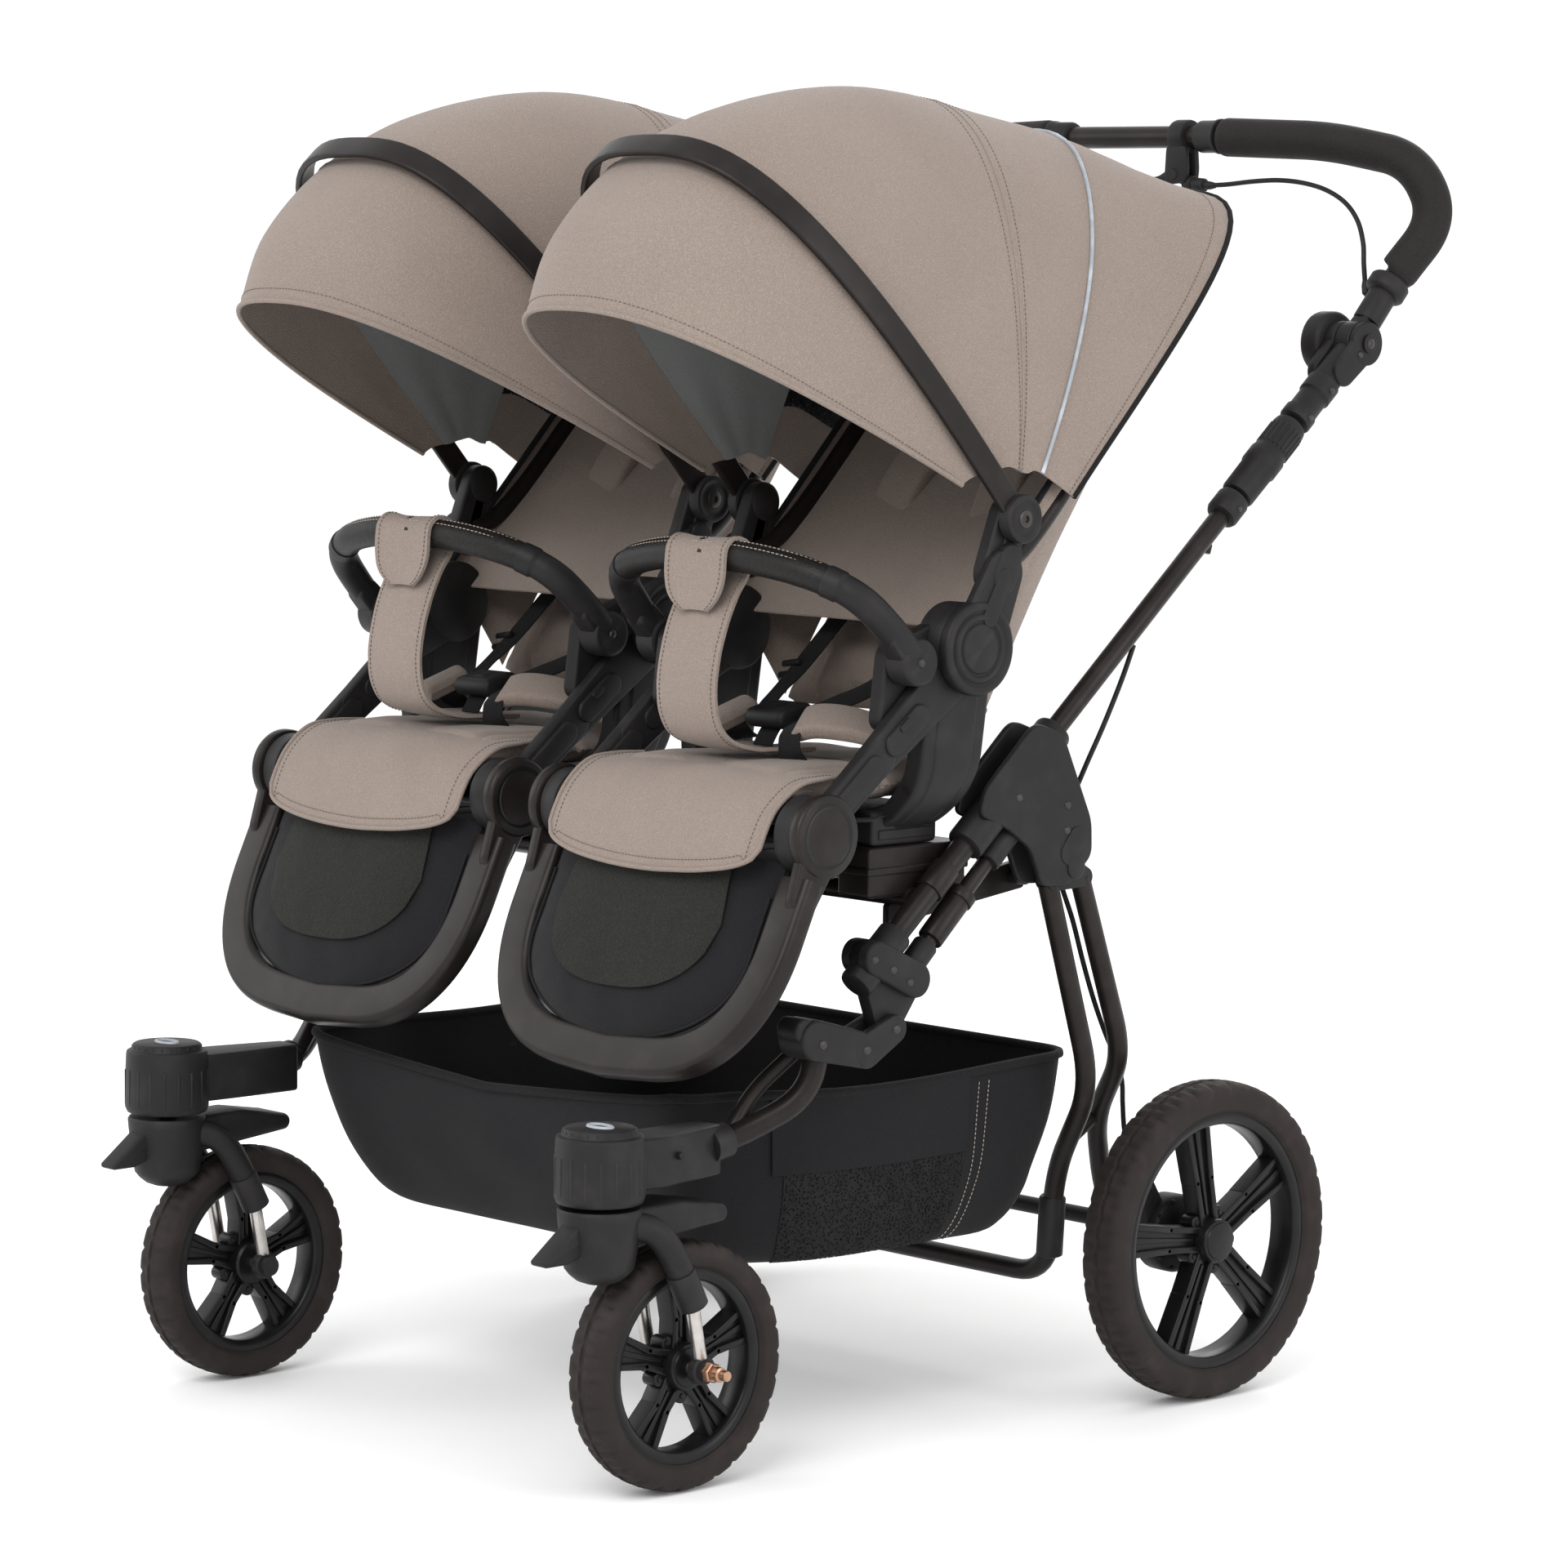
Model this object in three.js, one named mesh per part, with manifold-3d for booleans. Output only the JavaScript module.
// A twin pushchair: two seats side by side on one chassis with four wheels.
// Millimetres, +Z up, -Y is the way it rolls, +X is the occupants' left.
// Everything is laid out from the rear axle (y = 0) and moved at the end, so
// that the origin lies under the middle of the whole object.
import * as THREE from "three";
import { mergeVertices } from "three/addons/utils/BufferGeometryUtils.js";
import Module from "manifold-3d";

const wasm = await Module();
wasm.setup();

// ---------- driving dimensions ----------

const AXLE_TO_MIDDLE = 238.6; // the rear axle lies this far behind the middle
const GAP = 0.4; // clearance between pieces that touch
const SIDE_X = 340; // plane of each side frame
const SEAT_X = 202; // middle of each seat
const TUBE_R = 11; // main tubes
const TUBE_SIDES = 8; // facets round each frame tube and its socket
const POST_SLOPE = THREE.MathUtils.degToRad(40.4); // side frame and push tubes
const BRACKET_TOP = [-209, 631]; // y, z of a point on the side tubes' line

const REAR_WHEEL = { x: 356, y: 0, radius: 150, width: 45, rim: 120 };
const FRONT_WHEEL = { x: 304, y: -624, radius: 110, width: 42, rim: 85 };
const CASTER = { x: 304, y: -713 }; // swivel axis
const REAR_PIVOT = [-187, 515]; // y, z of the rear legs' fold
const FRONT_PIVOT = [-413, 388]; // y, z of the front legs' fold
const HANDLE_PIVOT = [207, 985]; // y, z of the handle's swivel

const LEG_HUB = [-520, 567]; // y, z on each seat: leg rest
const RECLINE_HUB = [-336, 721]; // backrest
const BUMPER_HUB = [-408, 712]; // bumper bar
const CANOPY_HUB = [-287, 834]; // canopy bow
const HUB_FACE = 163.5; // where a fixed hub meets the piece that turns on it
const HUB_OUTER = 178; // outermost face of the seat's hubs

// ---------- finishes ----------

const finish = (color, roughness, metalness = 0) =>
  new THREE.MeshStandardMaterial({ color, roughness, metalness });
const satinFrame = () => finish(0x2a2624, 0.38, 0.6);
const moulded = () => finish(0x1d1b1b, 0.55);
const foam = () => finish(0x201d1c, 0.8);
const rubber = () => finish(0x2b2523, 0.9);
const glossBlack = () => finish(0x121212, 0.25);
const blackCloth = () => finish(0x16161a, 0.95);
const beigeCloth = () => finish(0x8d7f72, 0.95);
const cableBlack = () => finish(0x0e0e0e, 0.5);

// ---------- solids ----------

function outward(geometry) {
  const position = geometry.getAttribute("position");
  const index = geometry.index.array;
  const [a, b, c] = [new THREE.Vector3(), new THREE.Vector3(), new THREE.Vector3()];
  let volume = 0;
  for (let i = 0; i < index.length; i += 3) {
    a.fromBufferAttribute(position, index[i]);
    b.fromBufferAttribute(position, index[i + 1]);
    c.fromBufferAttribute(position, index[i + 2]);
    volume += a.dot(b.cross(c));
  }
  if (volume < 0) {
    for (let i = 0; i < index.length; i += 3) {
      [index[i + 1], index[i + 2]] = [index[i + 2], index[i + 1]];
    }
  }
  return geometry;
}

function bare(geometry) {
  const plain = new THREE.BufferGeometry();
  plain.setAttribute("position", geometry.getAttribute("position").clone());
  if (geometry.index) {
    plain.setIndex(geometry.index.clone());
  }
  return outward(mergeVertices(plain, 1e-3));
}

function toSolid(geometry) {
  const plain = bare(geometry);
  return new wasm.Manifold(
    new wasm.Mesh({
      numProp: 3,
      vertProperties: new Float32Array(plain.getAttribute("position").array),
      triVerts: new Uint32Array(plain.index.array),
    }),
  );
}

function toGeometry(solid) {
  const mesh = solid.getMesh();
  const geometry = new THREE.BufferGeometry();
  geometry.setAttribute("position", new THREE.BufferAttribute(mesh.vertProperties, 3));
  geometry.setIndex(new THREE.BufferAttribute(mesh.triVerts, 1));
  return geometry;
}

const join = (...pieces) =>
  toGeometry(pieces.map(toSolid).reduce((whole, piece) => whole.add(piece)));

const cut = (piece, ...tools) =>
  toGeometry(tools.map(toSolid).reduce((left, tool) => left.subtract(tool), toSolid(piece)));

const common = (a, b) => toGeometry(toSolid(a).intersect(toSolid(b)));

function mirrored(geometry) {
  return bare(geometry.clone().applyMatrix4(new THREE.Matrix4().makeScale(-1, 1, 1)));
}

const bothSides = (geometry) => join(geometry, mirrored(geometry));

// ---------- outlines and sweeps ----------

function circle(radius, sides = 8, bore = 0) {
  const ring = (r) =>
    Array.from({ length: sides }, (_, i) => {
      const angle = (2 * Math.PI * (i + 0.5)) / sides;
      return new THREE.Vector2(r * Math.cos(angle), r * Math.sin(angle));
    });
  const shape = new THREE.Shape(ring(radius));
  if (bore) {
    shape.holes.push(new THREE.Path(ring(bore).reverse()));
  }
  return shape;
}

function roundedBar(width, height, corner) {
  const [w, h] = [width / 2, height / 2];
  const points = [
    [w - corner, -h],
    [w, -h + corner],
    [w, h - corner],
    [w - corner, h],
    [-w + corner, h],
    [-w, h - corner],
    [-w, -h + corner],
    [-w + corner, -h],
  ];
  return new THREE.Shape(points.map(([x, y]) => new THREE.Vector2(x, y)));
}

// A path through its own stations, each of them a step of the sweep.
class Route extends THREE.Curve {
  constructor(stations) {
    super();
    this.stations = stations;
  }
  getPoint(t, target = new THREE.Vector3()) {
    const last = this.stations.length - 1;
    const at = Math.min(Math.max(t * last, 0), last);
    const from = Math.min(Math.floor(at + 1e-6), last - 1);
    return target.lerpVectors(this.stations[from], this.stations[from + 1], at - from);
  }
  getPointAt(t, target) {
    return this.getPoint(t, target);
  }
  getTangentAt(t, target = new THREE.Vector3()) {
    const last = this.stations.length - 1;
    const here = Math.round(t * last);
    target.set(0, 0, 0);
    for (const from of [here - 1, here]) {
      if (from >= 0 && from < last) {
        const leg = new THREE.Vector3().subVectors(this.stations[from + 1], this.stations[from]);
        target.add(leg.normalize());
      }
    }
    return target.normalize();
  }
}

// Rounds each corner of a polyline with a curve that starts `radius` before it.
function bend(points, radius, steps = 2) {
  const corners = points.map((p) => new THREE.Vector3(...p));
  const stations = [corners[0]];
  for (let i = 1; i < corners.length - 1; i += 1) {
    const [before, corner, after] = corners.slice(i - 1, i + 2);
    const reach = (other) => Math.min(radius, corner.distanceTo(other) * 0.49);
    const start = corner.clone().add(before.clone().sub(corner).setLength(reach(before)));
    const end = corner.clone().add(after.clone().sub(corner).setLength(reach(after)));
    const arc = new THREE.QuadraticBezierCurve3(start, corner, end);
    stations.push(...arc.getPoints(steps));
  }
  stations.push(corners[corners.length - 1]);
  return stations;
}

const vectors = (points) => points.map((p) => new THREE.Vector3(...p));

function sweep(stations, shape) {
  const settings = {
    steps: stations.length - 1,
    extrudePath: new Route(stations),
    bevelEnabled: false,
  };
  return bare(new THREE.ExtrudeGeometry(shape, settings));
}

const rod = (from, to, radius, sides = 8, bore = 0) =>
  sweep(vectors([from, to]), circle(radius, sides, bore));

// A flat piece with its outline in the Y-Z plane, from x0 to x1.
function plate(outline, x0, x1) {
  const shape = new THREE.Shape(outline.map(([y, z]) => new THREE.Vector2(y, z)));
  const geometry = new THREE.ExtrudeGeometry(shape, { depth: x1 - x0, bevelEnabled: false });
  const toSide = new THREE.Matrix4().makeBasis(
    new THREE.Vector3(0, 1, 0),
    new THREE.Vector3(0, 0, 1),
    new THREE.Vector3(1, 0, 0),
  );
  return bare(geometry.applyMatrix4(toSide).translate(x0, 0, 0));
}

// The tight outline round a few circles, each [y, z, radius].
function around(circles, sides = 8) {
  const points = circles.flatMap(([y, z, r]) =>
    Array.from({ length: sides }, (_, i) => {
      const angle = (2 * Math.PI * i) / sides;
      return [y + r * Math.cos(angle), z + r * Math.sin(angle)];
    }),
  );
  points.sort((p, q) => p[0] - q[0] || p[1] - q[1]);
  const turn = (o, p, q) => (p[0] - o[0]) * (q[1] - o[1]) - (p[1] - o[1]) * (q[0] - o[0]);
  const half = (list) => {
    const chain = [];
    for (const point of list) {
      while (chain.length > 1 && turn(chain.at(-2), chain.at(-1), point) <= 1e-6) {
        chain.pop();
      }
      chain.push(point);
    }
    return chain.slice(0, -1);
  };
  return [...half(points), ...half([...points].reverse())];
}

const link = (circles, x0, x1, sides) => plate(around(circles, sides), x0, x1);
const disc = ([y, z], radius, x0, x1, sides = 12) => link([[y, z, radius]], x0, x1, sides);

// A turned piece about the X axis through (x, y, z). The profile is [along, radius].
function turned(profile, x, y, z, segments = 14) {
  const points = profile.map(([along, r]) => new THREE.Vector2(r, along));
  const geometry = new THREE.LatheGeometry(points, segments);
  return bare(geometry.rotateZ(-Math.PI / 2).translate(x, y, z));
}

// A turned piece about a vertical axis. The profile is [height, radius].
function upright(profile, x, y, segments = 14) {
  const points = profile.map(([height, r]) => new THREE.Vector2(r, height));
  const geometry = new THREE.LatheGeometry(points, segments);
  return bare(geometry.rotateX(Math.PI / 2).translate(x, y, 0));
}

function box(x0, x1, y0, y1, z0, z1) {
  const geometry = new THREE.BoxGeometry(x1 - x0, y1 - y0, z1 - z0);
  return bare(geometry.translate((x0 + x1) / 2, (y0 + y1) / 2, (z0 + z1) / 2));
}

// ---------- the scene graph ----------

const model = new THREE.Group();

function add(name, geometry, material) {
  const mesh = new THREE.Mesh(bare(geometry), material);
  mesh.name = name;
  model.add(mesh);
}

// Makes the left piece as given and the right one as its mirror image.
function addPair(name, geometry, material) {
  add(`${name}_left`, geometry, material);
  add(`${name}_right`, mirrored(geometry), material.clone());
}

// ---------- side frames ----------

// A point on the line that the front tube and the push tube share.
const onTubeLine = (y) => [SIDE_X, y, BRACKET_TOP[1] + (y - BRACKET_TOP[0]) * Math.tan(POST_SLOPE)];

// A point at a distance along that line from the handle's swivel.
const fromSwivel = (along) => [
  SIDE_X,
  HANDLE_PIVOT[0] + along * Math.cos(POST_SLOPE),
  HANDLE_PIVOT[1] + along * Math.sin(POST_SLOPE),
];

const FRAME_HALF = 18; // half the width of the side castings
const REAR_PIN_R = 6;
const FRONT_PIN_R = 5;
const TONGUE_HALF = 8; // half the width of the tongue in a fold joint
const LOCK_ROD = { radius: 7.5, top: [-250, 558], foot: [-378, 441] };
const FRONT_TUBE = { top: -262, foot: -428 };
const PUSH_TUBE = { foot: -228, radius: 9.5, bore: 8 };
const SLEEVE = { foot: -218, top: -118 }; // twist sleeve, measured from the swivel

const frontTube = (radius) =>
  rod(onTubeLine(FRONT_TUBE.foot), onTubeLine(FRONT_TUBE.top), radius, TUBE_SIDES);

const lockRod = (radius) =>
  rod([SIDE_X, ...LOCK_ROD.foot], [SIDE_X, ...LOCK_ROD.top], radius, TUBE_SIDES);

// A pin across a side casting, with its heads just proud of both faces.
const pivotPin = (pivot, radius) =>
  disc(pivot, radius, SIDE_X - FRAME_HALF - 1.5, SIDE_X + FRAME_HALF + 1.5, 10);

function sideBracket() {
  const outline = [
    [-312, 570],
    [-303, 594],
    [-246, 645],
    [-236, 648],
    [-205, 637],
    [-166, 556],
    [-165, 524],
    [-196, 498],
    [-230, 500],
    [-246, 536],
    [-276, 556],
  ];
  const body = plate(outline, SIDE_X - FRAME_HALF, SIDE_X + FRAME_HALF);
  const slotHalf = 11;
  const slotRound = disc(REAR_PIVOT, 38, SIDE_X - slotHalf, SIDE_X + slotHalf);
  const slotFoot = box(SIDE_X - slotHalf, SIDE_X + slotHalf, -260, -130, 480, REAR_PIVOT[1]);
  const socket = (from, to, radius) => rod(from, to, radius + GAP, TUBE_SIDES);
  const pastRodTop = [SIDE_X, LOCK_ROD.top[0] + 1, LOCK_ROD.top[1] + 1];
  const rodSocket = socket([SIDE_X, ...LOCK_ROD.foot], pastRodTop, LOCK_ROD.radius);
  const frontSocket = socket(onTubeLine(FRONT_TUBE.foot), onTubeLine(FRONT_TUBE.top + 1), TUBE_R);
  const pushSocket = socket(onTubeLine(PUSH_TUBE.foot - 1), onTubeLine(-100), PUSH_TUBE.radius);
  const casting = cut(body, slotRound, slotFoot, rodSocket, frontSocket, pushSocket);
  return join(casting, pivotPin(REAR_PIVOT, REAR_PIN_R));
}

const FOLD_UPPER = [
  [-434, 452, 16],
  [-386, 429, 16],
  [...FRONT_PIVOT, 13],
];
const FOLD_LOWER = [
  [...FRONT_PIVOT, 13],
  [-447, 372, 16],
  [-508, 387, 18],
];
const grown = (circles, by) => circles.map(([y, z, r]) => [y, z, r + by]);
// Room for a faceted eye of radius 13 to turn in.
const eyeRoom = (from, to) => disc(FRONT_PIVOT, 15, from, to, 20);

function foldJointUpper() {
  const body = link(FOLD_UPPER, SIDE_X - FRAME_HALF, SIDE_X + FRAME_HALF);
  const clearance = grown(FOLD_LOWER, 2 * GAP);
  const inner = [SIDE_X - FRAME_HALF - 1, SIDE_X - TONGUE_HALF];
  const outer = [SIDE_X + TONGUE_HALF, SIDE_X + FRAME_HALF + 1];
  const innerCheek = join(link(clearance, ...inner), eyeRoom(...inner));
  const outerCheek = join(link(clearance, ...outer), eyeRoom(...outer));
  const socket = rod(onTubeLine(FRONT_TUBE.foot - 1), onTubeLine(-300), TUBE_R + GAP, TUBE_SIDES);
  const rodFoot = [SIDE_X, LOCK_ROD.foot[0] - 1, LOCK_ROD.foot[1] - 1];
  const rodSocket = rod(rodFoot, [SIDE_X, ...LOCK_ROD.top], LOCK_ROD.radius + GAP, TUBE_SIDES);
  const casting = cut(body, innerCheek, outerCheek, socket, rodSocket);
  return join(casting, pivotPin(FRONT_PIVOT, FRONT_PIN_R));
}

const LEG_ROUTE = [
  [SIDE_X, -490, 384],
  [337, -502, 334],
  [302, -560, 299],
  [294, -604, 294],
];

function frontLeg() {
  const body = link(FOLD_LOWER, SIDE_X - FRAME_HALF, SIDE_X + FRAME_HALF);
  const slotHalf = TONGUE_HALF + GAP;
  const tongue = [SIDE_X - slotHalf, SIDE_X + slotHalf];
  const slot = join(link(grown(FOLD_UPPER, 2 * GAP), ...tongue), eyeRoom(...tongue));
  const pinHole = disc(FRONT_PIVOT, FRONT_PIN_R + GAP, SIDE_X - 30, SIDE_X + 30, 10);
  const casting = cut(body, slot, pinHole);
  const rodRoute = [
    [300, -560, 303],
    [302, -535, 338],
    [322, -497, 376],
  ];
  const tube = sweep(bend(LEG_ROUTE, 30), circle(TUBE_R, TUBE_SIDES));
  const basketRod = sweep(bend(rodRoute, 22), circle(7, 6));
  return join(casting, tube, basketRod);
}

function lockRodWithSleeve() {
  const along = (t) => [
    SIDE_X,
    THREE.MathUtils.lerp(LOCK_ROD.foot[0], LOCK_ROD.top[0], t),
    THREE.MathUtils.lerp(LOCK_ROD.foot[1], LOCK_ROD.top[1], t),
  ];
  return join(lockRod(LOCK_ROD.radius), rod(along(0.17), along(0.48), 12, 12));
}

function pushTube() {
  const { foot, radius, bore } = PUSH_TUBE;
  const tube = rod(onTubeLine(foot), fromSwivel(-126), radius, TUBE_SIDES, bore);
  const collar = rod(fromSwivel(-246), fromSwivel(SLEEVE.foot - 2), 16, TUBE_SIDES, radius - 0.5);
  const stud = rod([SIDE_X, 1, 792], [SIDE_X, 4, 801], 4, 8);
  return join(tube, collar, stud);
}

addPair("front_tube", frontTube(TUBE_R), satinFrame());
addPair("lock_rod", lockRodWithSleeve(), satinFrame());
addPair("side_bracket", sideBracket(), moulded());
addPair("fold_joint", foldJointUpper(), moulded());
addPair("front_leg", frontLeg(), satinFrame());
addPair("push_tube", pushTube(), satinFrame());

// ---------- seat carrier ----------

const BOOT_U = 103; // the seat's feet, from the middle of the seat
const ADAPTER = { y0: -418, y1: -296, z0: 508, z1: 545, half: 20 };

function seatCarrier() {
  const frontBarAt = [-365, 498];
  const rearBarAt = [-300, 494];
  const railX = 300;
  const frontBarEnd = SIDE_X - TUBE_R + 1.5;
  const frontBar = rod([-frontBarEnd, ...frontBarAt], [frontBarEnd, ...frontBarAt], 9, 10);
  const rearBar = rod([-railX, ...rearBarAt], [railX, ...rearBarAt], 9, 10);
  const railOutline = [
    [-372, 470],
    [-372, 490],
    [-205, 518],
    [-196, 512],
    [-198, 492],
  ];
  const rail = plate(railOutline, railX - 4, railX + 4);
  const boss = disc([-213, 505], 8, railX, SIDE_X - FRAME_HALF - GAP, 10);
  const blocks = [-1, 1].flatMap((seat) =>
    [-1, 1].map((foot) => {
      const x = seat * SEAT_X + foot * BOOT_U;
      const { y0, y1, z0, z1, half } = ADAPTER;
      return box(x - half, x + half, y0, y1, z0 - 8, z1);
    }),
  );
  const bars = join(frontBar, rearBar, bothSides(rail), bothSides(boss), ...blocks);
  return cut(bars, frontTube(TUBE_R + GAP), mirrored(frontTube(TUBE_R + GAP)));
}

add("seat_carrier", seatCarrier(), satinFrame());

// ---------- rear legs ----------

function rearFrame() {
  const top = 340;
  const frontLegRoute = [
    [top, -205, 500],
    [338, -141, 307],
    [262, -107, 212],
    [250, -100, 112],
    [-250, -100, 112],
    [-262, -107, 212],
    [-338, -141, 307],
    [-top, -205, 500],
  ];
  const rearLegRoute = [
    [top, -163, 503],
    [338, -99, 333],
    [272, -63, 262],
    [240, -18, 190],
    [240, 0, 152],
  ];
  const uTube = sweep(bend(frontLegRoute, 42), circle(9.5, 6));
  const rearLeg = sweep(bend(rearLegRoute, 36), circle(9.5, 6));
  const knuckle = link([[-204, 502, 9], [-163, 503, 9], [...REAR_PIVOT, 11]], top - 9, top + 9, 10);
  const pinHole = disc(REAR_PIVOT, REAR_PIN_R + GAP, top - 12, top + 12, 10);
  const tie = rod([276, -116, 236], [276, -60, 268], 6, 8);
  const collar = rod([252, -101.5, 132], [259, -105.5, 190], 12.5, 10);
  const axleSleeve = disc([0, REAR_WHEEL.radius], 15, 226, 254, 10);
  const oneSide = cut(join(rearLeg, knuckle, tie, collar, axleSleeve), pinHole);
  const axleBore = disc([0, REAR_WHEEL.radius], 9, -260, 260, 10);
  return cut(join(uTube, oneSide, mirrored(oneSide)), pinHole, mirrored(pinHole), axleBore);
}

const STUB_R = 6;

function rearAxle() {
  const at = [0, REAR_WHEEL.radius];
  const profile = [
    [0, 0],
    [0, 8],
    [296, 8],
    [297, 34],
    [301, 37],
    [322, 37],
    [325, 33],
    [326, STUB_R],
    [374, STUB_R],
    [374, 0],
  ];
  const half = turned(profile, 0, ...at, 14);
  const calliper = link([[-22, 168, 14], [-34, 196, 9]], 300, 316, 10);
  return bothSides(join(half, calliper));
}

add("rear_frame", rearFrame(), satinFrame());
add("rear_axle", rearAxle(), moulded());

// ---------- wheels ----------

function tyre({ x, y, radius, width, rim }) {
  const [half, z] = [width / 2, radius];
  const shoulder = (side) => [
    [side * half * 0.72, rim],
    [side * half, rim + 5],
    [side * half, radius - 11],
    [side * half * 0.8, radius - 3],
    [side * half * 0.42, radius],
  ];
  const [inner, outer] = [shoulder(-1), shoulder(1).reverse()];
  return turned([...inner, ...outer, inner[0]], x, y, z, 22);
}

const SPOKE_THICK = 16;

function rim({ x, y, radius, width, rim: seatRadius }, spokeTwist) {
  const z = radius;
  const half = width * 0.36;
  const outerR = seatRadius - GAP;
  const bandProfile = [
    [-half, outerR - 9],
    [-half, outerR],
    [half, outerR],
    [half, outerR - 9],
    [-half, outerR - 9],
  ];
  const band = turned(bandProfile, x, y, z, 22);
  const hub = disc([y, z], 21, x - half - 4, x + half + 4, 10);
  const spokes = Array.from({ length: 5 }, (_, i) => {
    const angle = spokeTwist + (2 * Math.PI * i) / 5;
    const arm = new THREE.Shape(
      [
        [8, -17],
        [outerR - 4, -12],
        [outerR - 4, 12],
        [8, 17],
      ].map(([r, w]) => new THREE.Vector2(r, w)),
    );
    const toSide = new THREE.Matrix4().makeBasis(
      new THREE.Vector3(0, Math.cos(angle), Math.sin(angle)),
      new THREE.Vector3(0, -Math.sin(angle), Math.cos(angle)),
      new THREE.Vector3(1, 0, 0),
    );
    const bar = new THREE.ExtrudeGeometry(arm, { depth: SPOKE_THICK, bevelEnabled: false });
    return bar.applyMatrix4(toSide).translate(x - SPOKE_THICK / 2, y, z);
  });
  const whole = join(band, hub, ...spokes);
  return cut(whole, disc([y, z], STUB_R + GAP, x - 60, x + 60, 12));
}

const SPOKE_TWIST = { front: 0.34, rear: 0.52 };

addPair("rear_tyre", tyre(REAR_WHEEL), rubber());
addPair("rear_rim", rim(REAR_WHEEL, SPOKE_TWIST.rear), glossBlack());
addPair("front_tyre", tyre(FRONT_WHEEL), rubber());
addPair("front_rim", rim(FRONT_WHEEL, SPOKE_TWIST.front), glossBlack());

// ---------- casters ----------

const KNUCKLE_TOP = 258; // the fork turns under the housing here
const KINGPIN_R = 8;

function casterHousing() {
  const barrel = upright(
    [
      [262, 0],
      [262, 37],
      [268, 39],
      [316, 38],
      [320, 37],
      [320, 33],
      [327, 31],
      [327, 0],
    ],
    CASTER.x,
    CASTER.y,
    18,
  );
  const capOutline = new THREE.Shape().absellipse(0, 0, 15, 9, 0, 2 * Math.PI);
  const capSettings = { depth: 6, bevelEnabled: false, curveSegments: 6 };
  const cap = new THREE.ExtrudeGeometry(capOutline, capSettings);
  cap.translate(CASTER.x, CASTER.y, 325);
  const arm = new THREE.Shape(
    [
      [CASTER.x - 24, CASTER.y],
      [276, -578],
      [308, -574],
      [CASTER.x + 20, CASTER.y],
    ].map(([x, y]) => new THREE.Vector2(x, y)),
  );
  const armBlock = new THREE.ExtrudeGeometry(arm, { depth: 44, bevelEnabled: false });
  armBlock.translate(0, 0, 271);
  const legSocket = sweep(bend(LEG_ROUTE, 30), circle(TUBE_R + GAP, TUBE_SIDES));
  const socketEnd = rod([302, -560, 299], [293.6, -607, 293.8], TUBE_R + GAP, TUBE_SIDES);
  const boreR = KINGPIN_R + GAP;
  const boreProfile = [
    [250, 0],
    [250, boreR],
    [300, boreR],
    [300, 0],
  ];
  const kingpinBore = upright(boreProfile, CASTER.x, CASTER.y);
  return cut(join(barrel, cap, armBlock), legSocket, socketEnd, kingpinBore);
}

function fork() {
  const { x, y } = CASTER;
  const knuckle = upright(
    [
      [192, 0],
      [196, 20],
      [206, 30],
      [222, 33],
      [250, 36],
      [KNUCKLE_TOP, 36],
      [KNUCKLE_TOP, KINGPIN_R],
      [298, KINGPIN_R],
      [298, 0],
    ],
    x,
    y,
    18,
  );
  const hook = link([[-735, 238, 14], [-758, 222, 7], [-779, 218, 3]], x - 11, x + 11, 10);
  const lobe = link([[-700, 240, 17], [-640, 244, 14], [-592, 242, 8]], x - 24, x + 24, 10);
  const armX = FRONT_WHEEL.width / 2 + 12;
  const z = FRONT_WHEEL.radius;
  const arm = (side) => {
    const route = [
      [x + side * 20, -690, 244],
      [x + side * armX, -672, 236],
      [x + side * armX, -634, 172],
      [x + side * armX, FRONT_WHEEL.y, z],
    ];
    return sweep(bend(route, 24), circle(8.5, 6));
  };
  const wheelAxle = turned(
    [
      [-armX - 12, 0],
      [-armX - 12, 7],
      [-armX + 6, 7],
      [-armX + 6, STUB_R],
      [armX - 6, STUB_R],
      [armX - 6, 9],
      [armX + 12, 9],
      [armX + 14, 5],
      [armX + 34, 5],
      [armX + 34, 0],
    ],
    x,
    FRONT_WHEEL.y,
    z,
    14,
  );
  return join(knuckle, hook, lobe, arm(-1), arm(1), wheelAxle);
}

addPair("caster_housing", casterHousing(), moulded());
addPair("fork", fork(), moulded());

// ---------- basket ----------

function basket() {
  const plan = (inset) =>
    new THREE.Shape(
      [
        [268 - inset, -588 + inset],
        [274 - inset, -530],
        [298 - inset, -440],
        [298 - inset, -110 - inset],
        [-298 + inset, -110 - inset],
        [-298 + inset, -440],
        [-274 + inset, -530],
        [-268 + inset, -588 + inset],
      ].map(([x, y]) => new THREE.Vector2(x, y)),
    );
  const tower = (inset) =>
    new THREE.ExtrudeGeometry(plan(inset), { depth: 250, bevelEnabled: false }).translate(0, 0, 150);
  const profile = (inset) =>
    plate(
      [
        [-589 + inset, 330 + inset * 9],
        [-589 + inset, 246 + inset],
        [-500 + inset, 166 + inset],
        [-186 - inset, 166 + inset],
        [-112 - inset, 330 + inset * 9],
      ],
      -300,
      300,
    );
  const wall = 4;
  return cut(common(tower(0), profile(0)), common(tower(wall), profile(wall)));
}

add("basket", basket(), blackCloth());

// ---------- handle ----------

function twistSleeve() {
  // The bore clears the corners of the faceted tube as the sleeve turns on it.
  const bore = (PUSH_TUBE.radius + GAP) / Math.cos(Math.PI / TUBE_SIDES);
  const body = rod(fromSwivel(SLEEVE.foot), fromSwivel(SLEEVE.top), 16.5, TUBE_SIDES, bore);
  const rib = rod(fromSwivel(-176), fromSwivel(-164), 18, TUBE_SIDES, bore + 1);
  return join(body, rib);
}

const SWIVEL_R = 21;
const SWIVEL_PIN_R = 5;

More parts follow.
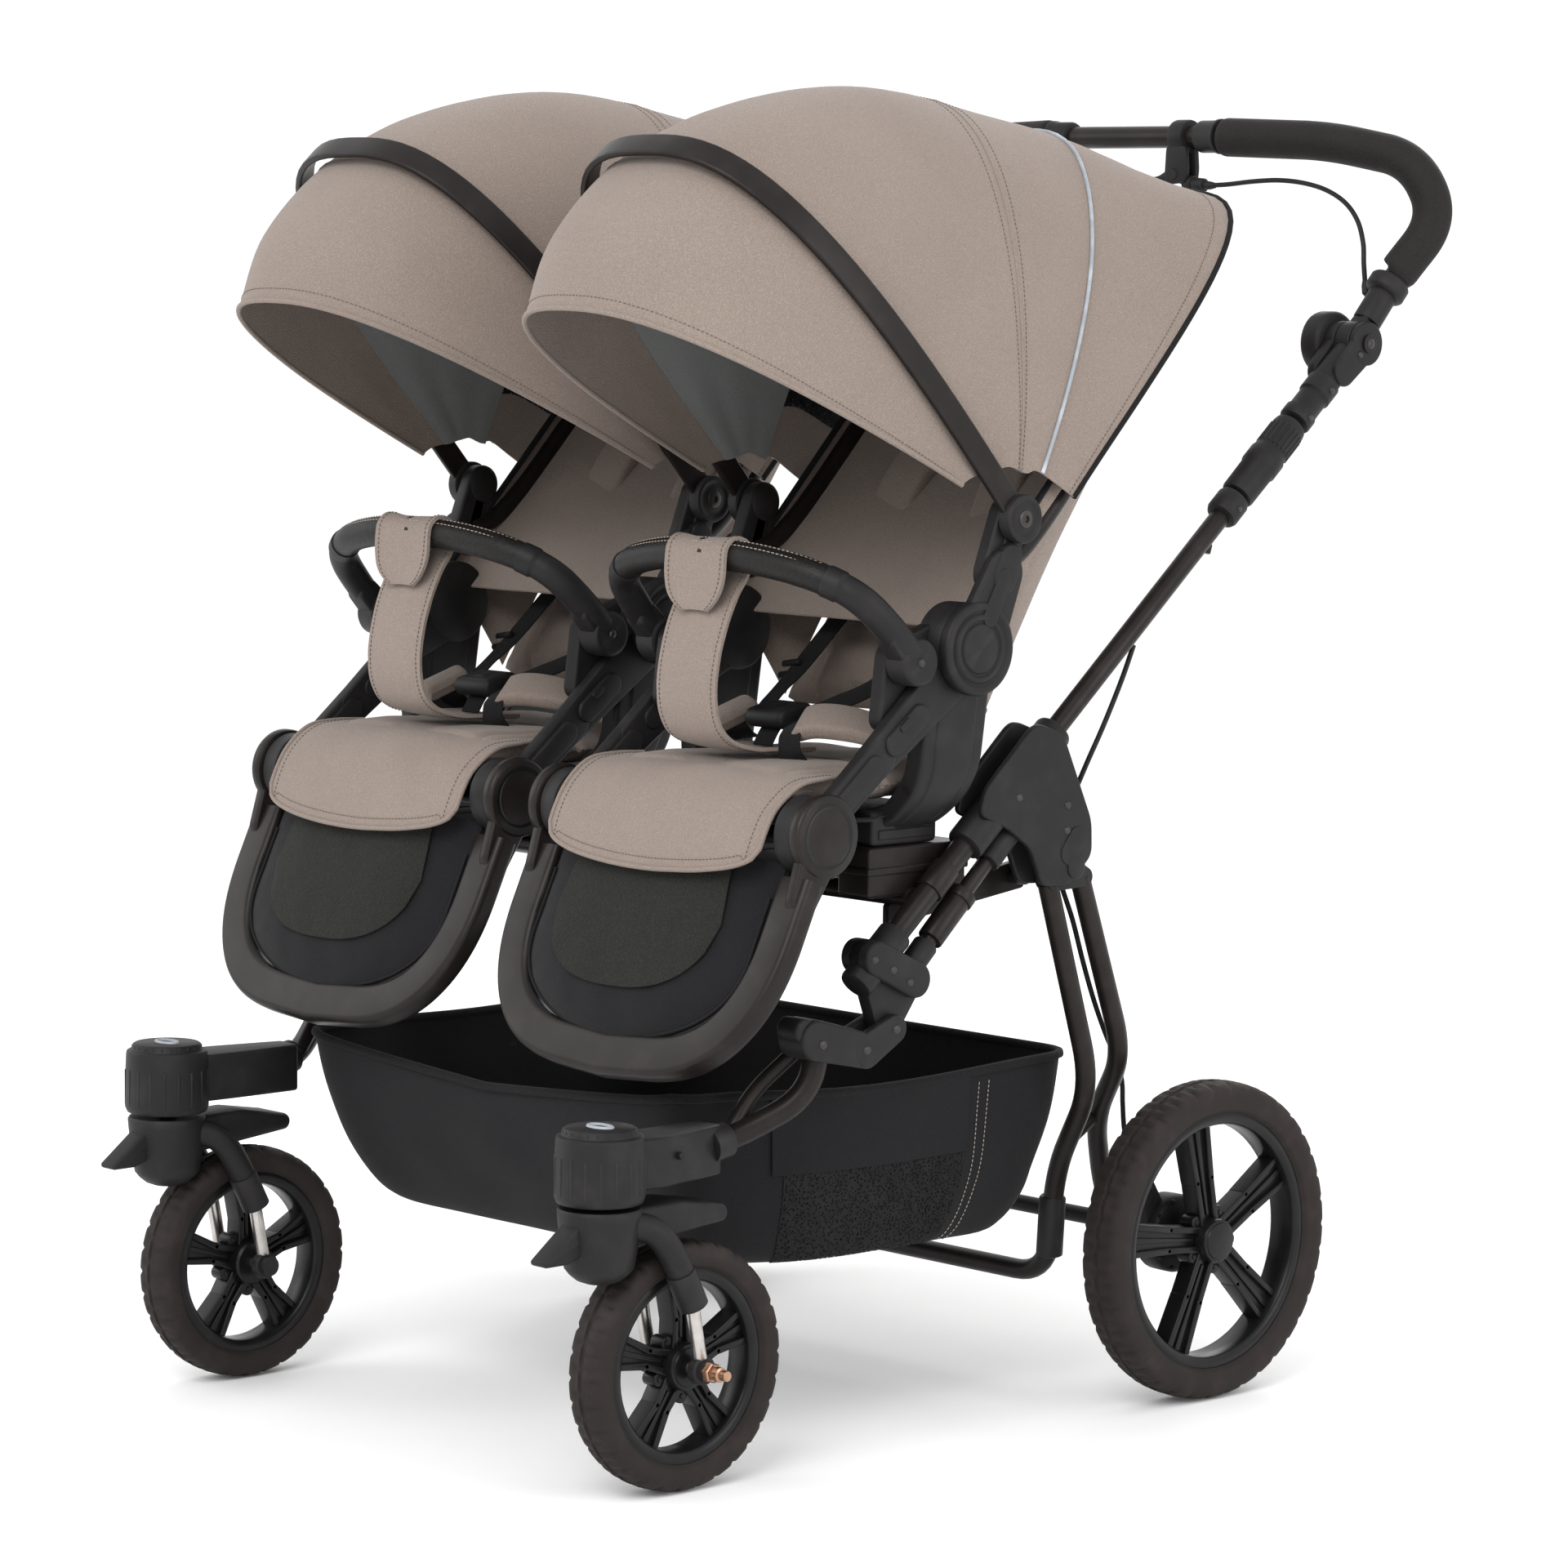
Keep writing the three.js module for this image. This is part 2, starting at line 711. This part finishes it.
function handlePost() {
  const inner = rod(fromSwivel(-262), fromSwivel(-100), PUSH_TUBE.bore - GAP, TUBE_SIDES);
  const collar = rod(fromSwivel(-114), fromSwivel(-98), 16, TUBE_SIDES);
  const body = rod(fromSwivel(-100), fromSwivel(-6), 14, TUBE_SIDES);
  const innerCheek = disc(HANDLE_PIVOT, SWIVEL_R, 316, 330.5);
  const outerCheek = disc(HANDLE_PIVOT, SWIVEL_R, 349.5, 357);
  const shoulder = link([[...HANDLE_PIVOT, 17], [176, 958.6, 14]], 318, 357, 10);
  const housing = disc(HANDLE_PIVOT, 30, 296, 318);
  const tongueRoom = disc(HANDLE_PIVOT, SWIVEL_R + 2, 330.5, 349.5);
  const recess = disc(HANDLE_PIVOT, 25.5, 290, 308);
  const whole = join(inner, collar, body, innerCheek, outerCheek, shoulder, housing);
  const solid = cut(whole, tongueRoom, recess);
  const pin = disc(HANDLE_PIVOT, SWIVEL_PIN_R, 317, 360, 10);
  return join(solid, pin);
}

const BAR_Y = 266;
const BAR_Z = 1183;
const GRIP_END = 98; // the foam grips stop this far from the middle
const GRIP_FOOT = 1050; // and start at this height
const HANDLE_ROUTE = [
  [SIDE_X, 223, 1005.5],
  [343, 252, 1042],
  [371, 292, 1104],
  [345, 282, 1160],
  [247, 272, 1178],
  [GRIP_END, BAR_Y, BAR_Z],
  [0, BAR_Y, BAR_Z],
];

function handleStations() {
  const left = bend(HANDLE_ROUTE, 34);
  const right = left.slice(0, -1).map((p) => new THREE.Vector3(-p.x, p.y, p.z));
  return [...left, ...right.reverse()];
}

function handleTube() {
  const tube = sweep(handleStations(), circle(TUBE_R, TUBE_SIDES));
  const tongue = disc(HANDLE_PIVOT, SWIVEL_R, 331, 349);
  const pinHole = disc(HANDLE_PIVOT, SWIVEL_PIN_R + GAP, 320, 360, 10);
  const armStart = [SIDE_X, 224, 1006.6];
  const armEnd = [343, 247, 1035.5];
  const arm = rod(armStart, armEnd, 14, TUBE_SIDES);
  const neck = link([[...HANDLE_PIVOT, 16], [230, 1014, 9]], 331, 349, 10);
  const collar = rod([342.5, 244, 1032], [344, 254, 1044.5], 20, TUBE_SIDES);
  const knuckle = cut(join(tongue, arm, neck, collar), pinHole);
  const barCollar = rod([112, BAR_Y + 0.4, BAR_Z - 0.3], [86, BAR_Y, BAR_Z], 16, 10);
  return cut(
    join(tube, knuckle, mirrored(knuckle), barCollar, mirrored(barCollar)),
    pinHole,
    mirrored(pinHole),
  );
}

function grip() {
  const stations = handleStations();
  const from = stations.findIndex((p) => p.z > GRIP_FOOT);
  const to = stations.findIndex((p) => p.x < GRIP_END + 20);
  const [below, above] = [stations[from - 1], stations[from]];
  const first = below.clone().lerp(above, (GRIP_FOOT - below.z) / (above.z - below.z));
  const last = new THREE.Vector3(GRIP_END + 16, BAR_Y + 0.6, BAR_Z - 0.5);
  return sweep([first, ...stations.slice(from, to), last], circle(19, 8, TUBE_R + 1.2));
}

function swivelButton() {
  return turned(
    [
      [0, 0],
      [0, 20],
      [3, 24.6],
      [13, 24.6],
      [13, 0],
    ],
    291,
    ...HANDLE_PIVOT,
    14,
  );
}

addPair("twist_sleeve", twistSleeve(), moulded());
addPair("handle_post", handlePost(), moulded());
add("handle_tube", handleTube(), satinFrame());
addPair("grip", grip(), foam());
addPair("swivel_button", swivelButton(), moulded());

// ---------- hand brake ----------

const LEVER_PIVOT = [62, 262, 1146]; // x, y, z

function brakeClamp() {
  const ringBody = rod([54, BAR_Y, BAR_Z], [74, BAR_Y, BAR_Z], 17, 10);
  const cheek = (y0, y1) => box(50, 78, y0, y1, 1138, 1176);
  const barrel = rod([70, 262, 1137], [96, 262, 1135], 7, 10);
  const web = box(70, 80, 252, 272, 1130, 1170);
  const solid = join(ringBody, cheek(252, 257.5), cheek(266.5, 272), web, barrel);
  const bar = rod([20, BAR_Y, BAR_Z], [90, BAR_Y, BAR_Z], TUBE_R + 1.2, TUBE_SIDES);
  return cut(solid, bar);
}

function brakeLever() {
  const [px, py, pz] = LEVER_PIVOT;
  const outline = new THREE.Shape(
    [
      [px + 6, pz + 6],
      [px + 6, pz - 8],
      [px - 30, 1134],
      [-24, 1131],
      [-66, 1137],
      [-70, 1143],
      [-24, 1140],
      [px - 26, 1144],
      [px - 8, pz + 8],
    ].map(([x, z]) => new THREE.Vector2(x, z)),
  );
  const blade = new THREE.ExtrudeGeometry(outline, { depth: 8, bevelEnabled: false });
  const toFront = new THREE.Matrix4().makeBasis(
    new THREE.Vector3(1, 0, 0),
    new THREE.Vector3(0, 0, 1),
    new THREE.Vector3(0, -1, 0),
  );
  return bare(blade.applyMatrix4(toFront).translate(0, py + 4, 0));
}

add("brake_clamp", brakeClamp(), moulded());
add("brake_lever", brakeLever(), moulded());

// The brake cable, from the lever to the push tube, from the push tube to the
// rear legs' pivot, and down the rear leg to the brake.
const CABLE_R = 2.4;
const CABLE_TOP = [
  [96.6, 262, 1135],
  [125, 262, 1136],
  [160, 262, 1139],
  [195, 261, 1140],
  [228, 260, 1137],
  [258, 258, 1130],
  [283, 256, 1118],
  [301, 253, 1101],
  [311, 250, 1080],
  [315, 247, 1060],
  [319, 245, 1040],
  [322, 243, 1030],
];
const CABLE_MIDDLE = [
  [SIDE_X, -96, 711],
  [SIDE_X, -108, 686],
  [338, -120, 660],
  [335, -132, 634],
  [330, -143, 608],
  [324, -151, 584],
  [316, -156, 562],
  [314, -160, 546],
  [314, -164, 532],
];
const CABLE_FOOT = [
  [314, -168, 522],
  [316, -163, 496],
  [320, -150, 460],
  [321, -136, 420],
  [321, -121, 384],
  [320, -104, 352],
  [316, -84, 324],
  [306, -64, 300],
  [292, -47, 274],
  [286, -37, 246],
  [293, -34, 222],
  [306, -35, 208],
];

const cable = (points) => sweep(vectors(points), circle(CABLE_R, 8));

add("brake_cable_top", cable(CABLE_TOP), cableBlack());
add("brake_cable_middle", cable(CABLE_MIDDLE), cableBlack());
add("brake_cable_foot", cable(CABLE_FOOT), cableBlack());

// ---------- seats, built about their own middle plane ----------

function seatFrame() {
  const rail = link([[...LEG_HUB, 20], [-352, 700, 20]], 150, 172, 10);
  const legRoom = disc(LEG_HUB, 39, HUB_FACE, HUB_OUTER);
  const backRoom = disc(RECLINE_HUB, 44, HUB_FACE, HUB_OUTER);
  const bumperRoom = disc(BUMPER_HUB, 23, 150, HUB_OUTER);
  const legHub = disc(LEG_HUB, 34, 142, HUB_FACE);
  const backHub = disc(RECLINE_HUB, 40, 132, HUB_FACE);
  const cheekOutline = [[...RECLINE_HUB, 30], [...BUMPER_HUB, 18], [-420, 662, 12]];
  const cheek = link(cheekOutline, 132, 149.5, 10);
  const bootRoute = [
    [147, -336, 700],
    [147, -330, 604],
    [122, -345, 573],
    [BOOT_U, -372, 566],
  ];
  const boot = sweep(bend(bootRoute, 24), circle(10, 6));
  const foot = box(BOOT_U - 17, BOOT_U + 17, -412, -330, ADAPTER.z1 + GAP, 577);
  const whole = join(rail, legHub, backHub, cheek, boot, foot);
  const side = cut(whole, legRoom, backRoom, bumperRoom);
  const crossTube = rod([-148, -500, 561], [148, -500, 561], 8, 10);
  const footTube = rod([-BOOT_U, -350, 562], [BOOT_U, -350, 562], 7, 8);
  return join(side, mirrored(side), crossTube, footTube);
}

const BACK_SLOPE = THREE.MathUtils.degToRad(47);
const onBack = (along) => [
  RECLINE_HUB[0] + along * Math.cos(BACK_SLOPE),
  RECLINE_HUB[1] + along * Math.sin(BACK_SLOPE),
];

function backFrame() {
  const hub = disc(RECLINE_HUB, 42, HUB_FACE + GAP, HUB_OUTER);
  const lowArm = link([[...RECLINE_HUB, 30], [-303, 786, 14]], HUB_FACE + GAP, 176, 10);
  const highArm = link([[-303, 786, 14], [...CANOPY_HUB, 16]], 152, 167.5, 10);
  const bridge = link([[-303, 786, 13], [-296, 800, 12]], 156, 176, 10);
  const sideRoute = [
    [0, ...onBack(450)],
    [155, ...onBack(450)],
    [155, ...onBack(110)],
    [158, -300, 792],
  ];
  const seatDiscRoom = disc(RECLINE_HUB, 41, 100, HUB_FACE + GAP / 2);
  const tube = sweep(bend(sideRoute, 60), circle(9, 6));
  const bowRoom = disc(CANOPY_HUB, 24, 168, 190);
  return bothSides(cut(join(hub, lowArm, highArm, bridge, tube), bowRoom, seatDiscRoom));
}

const softBlock = (circles, half) => link(circles, -half, half, 10);

// The cushion is narrower at the back, where it passes between the side brackets.
const seatCushion = () =>
  join(
    softBlock([[-514, 600, 11], [-374, 600, 11]], 134),
    softBlock([[-400, 600, 10.5], [-292, 600, 10.5]], 112),
  );
const backCushion = () => softBlock([[-285, 643, 10], [-50, 1016, 10]], 134);

// An arch across the seat, over the top from one side to the other. It starts
// and ends at a fraction of its height above its base.
function arch({ base = CANOPY_HUB, top, half, power, start = 0 }, steps) {
  const first = Math.asin(start ** (power / 2));
  return Array.from({ length: steps + 1 }, (_, i) => {
    const angle = first + ((Math.PI - 2 * first) * i) / steps;
    const [c, s] = [Math.cos(angle), Math.sin(angle)];
    const across = Math.sign(c) * Math.abs(c) ** (2 / power) * half;
    const up = Math.max(s, 0) ** (2 / power);
    return new THREE.Vector3(
      Math.abs(c) < 1e-9 ? 0 : across,
      base[0] + (top[0] - base[0]) * up,
      base[1] + (top[1] - base[1]) * up,
    );
  });
}

const BOW_TOP = [-577, 1157];

function canopyBow() {
  const route = arch({ top: BOW_TOP, half: 173.5, power: 2.8 }, 14);
  const band = sweep(route, roundedBar(6, 24, 1.5));
  const pivot = disc(CANOPY_HUB, 22, 168.6, 183, 18);
  return join(band, pivot, mirrored(pivot));
}

const CANOPY_ARCHES = [
  { top: [-672, 1017], half: 168, power: 2.5, start: 0.17 },
  { top: [-640, 1085], half: 168, power: 2.6, start: 0.15 },
  { top: [-570, 1146], half: 167, power: 2.8, start: 0.13 },
  { top: [-476, 1194], half: 167, power: 2.6, start: 0.12 },
  { top: [-345, 1215], half: 169, power: 2.3, start: 0.12 },
  { top: [-188, 1196], half: 172, power: 2.2, start: 0.11 },
  { top: [-69, 1173], half: 173, power: 2.4, start: 0.12 },
  { base: [-236, 834], top: [44, 1126], half: 176, power: 5, start: 0.06 },
];
const CANOPY_THICK = 3;

// A skin through a list of arches, closed with its own inner face and edges.
function skin(arches, steps, thick) {
  const outer = arches.map((shape) => arch(shape, steps));
  const middle = new THREE.Vector3(0, ...CANOPY_HUB);
  const inner = outer.map((row) =>
    row.map((p) => {
      const inwards = middle.clone().sub(p);
      inwards.x = -p.x;
      return p.clone().add(inwards.setLength(thick));
    }),
  );
  const rows = outer.length;
  const points = [...outer.flat(), ...inner.flat()];
  const at = (layer, i, j) => layer * rows * (steps + 1) + i * (steps + 1) + j;
  const faces = [];
  const quad = (a, b, c, d) => faces.push(a, b, c, a, c, d);
  for (let i = 0; i < rows - 1; i += 1) {
    for (let j = 0; j < steps; j += 1) {
      quad(at(0, i, j), at(0, i + 1, j), at(0, i + 1, j + 1), at(0, i, j + 1));
      quad(at(1, i, j), at(1, i, j + 1), at(1, i + 1, j + 1), at(1, i + 1, j));
    }
    quad(at(0, i, 0), at(1, i, 0), at(1, i + 1, 0), at(0, i + 1, 0));
    quad(at(0, i, steps), at(0, i + 1, steps), at(1, i + 1, steps), at(1, i, steps));
  }
  for (let j = 0; j < steps; j += 1) {
    quad(at(0, 0, j), at(0, 0, j + 1), at(1, 0, j + 1), at(1, 0, j));
    const last = rows - 1;
    quad(at(0, last, j), at(1, last, j), at(1, last, j + 1), at(0, last, j + 1));
  }
  const geometry = new THREE.BufferGeometry().setFromPoints(points);
  geometry.setIndex(faces);
  return bare(geometry);
}

function bumperBar() {
  const half = [
    [165, -414, 720],
    [165, -432, 738],
    [155, -466, 772],
    [112, -488, 791],
    [55, -498, 800],
    [0, -500, 802],
  ];
  const left = bend(half, 26);
  const right = left.slice(0, -1).map((p) => new THREE.Vector3(-p.x, p.y, p.z));
  const bar = sweep([...left, ...right.reverse()], circle(13, 7));
  const hub = disc(BUMPER_HUB, 21, 150.5, 176, 18);
  return join(bar, hub, mirrored(hub));
}

const LEG_SLOPE = THREE.MathUtils.degToRad(65);
const downLeg = (along, off = 0) => [
  LEG_HUB[0] - along * Math.cos(LEG_SLOPE) - off * Math.sin(LEG_SLOPE),
  LEG_HUB[1] - along * Math.sin(LEG_SLOPE) + off * Math.cos(LEG_SLOPE),
];

function legRestFrame() {
  const route = [
    [163, ...downLeg(42)],
    [163, ...downLeg(150)],
    [110, ...downLeg(214)],
    [0, ...downLeg(222)],
  ];
  const left = bend(route, 62, 3);
  const right = left.slice(0, -1).map((p) => new THREE.Vector3(-p.x, p.y, p.z));
  const frame = sweep([...left, ...right.reverse()], roundedBar(38, 22, 6));
  const hub = disc(LEG_HUB, 37, HUB_FACE + GAP, HUB_OUTER);
  const tab = link([[...LEG_HUB, 20], [...downLeg(56), 11]], HUB_FACE + GAP, HUB_OUTER, 10);
  return join(frame, hub, mirrored(hub), tab, mirrored(tab));
}

const legRestPad = () =>
  join(
    softBlock([[...downLeg(34, 2), 9], [...downLeg(118, 2), 9]], 134),
    softBlock([[...downLeg(100, 2), 8.5], [...downLeg(178, 2), 8.5]], 92),
  );

function addSeat(side, x) {
  const pieces = [
    ["seat_frame", seatFrame(), moulded()],
    ["seat_cushion", seatCushion(), beigeCloth()],
    ["back_frame", backFrame(), moulded()],
    ["back_cushion", backCushion(), beigeCloth()],
    ["canopy", skin(CANOPY_ARCHES, 12, CANOPY_THICK), beigeCloth()],
    ["canopy_bow", canopyBow(), moulded()],
    ["bumper_bar", bumperBar(), moulded()],
    ["leg_rest_frame", legRestFrame(), moulded()],
    ["leg_rest_pad", legRestPad(), blackCloth()],
  ];
  for (const [name, geometry, material] of pieces) {
    add(`${name}_${side}`, geometry.translate(x, 0, 0), material);
  }
}

addSeat("left", SEAT_X);
addSeat("right", -SEAT_X);

model.position.y = AXLE_TO_MIDDLE;

export default model;
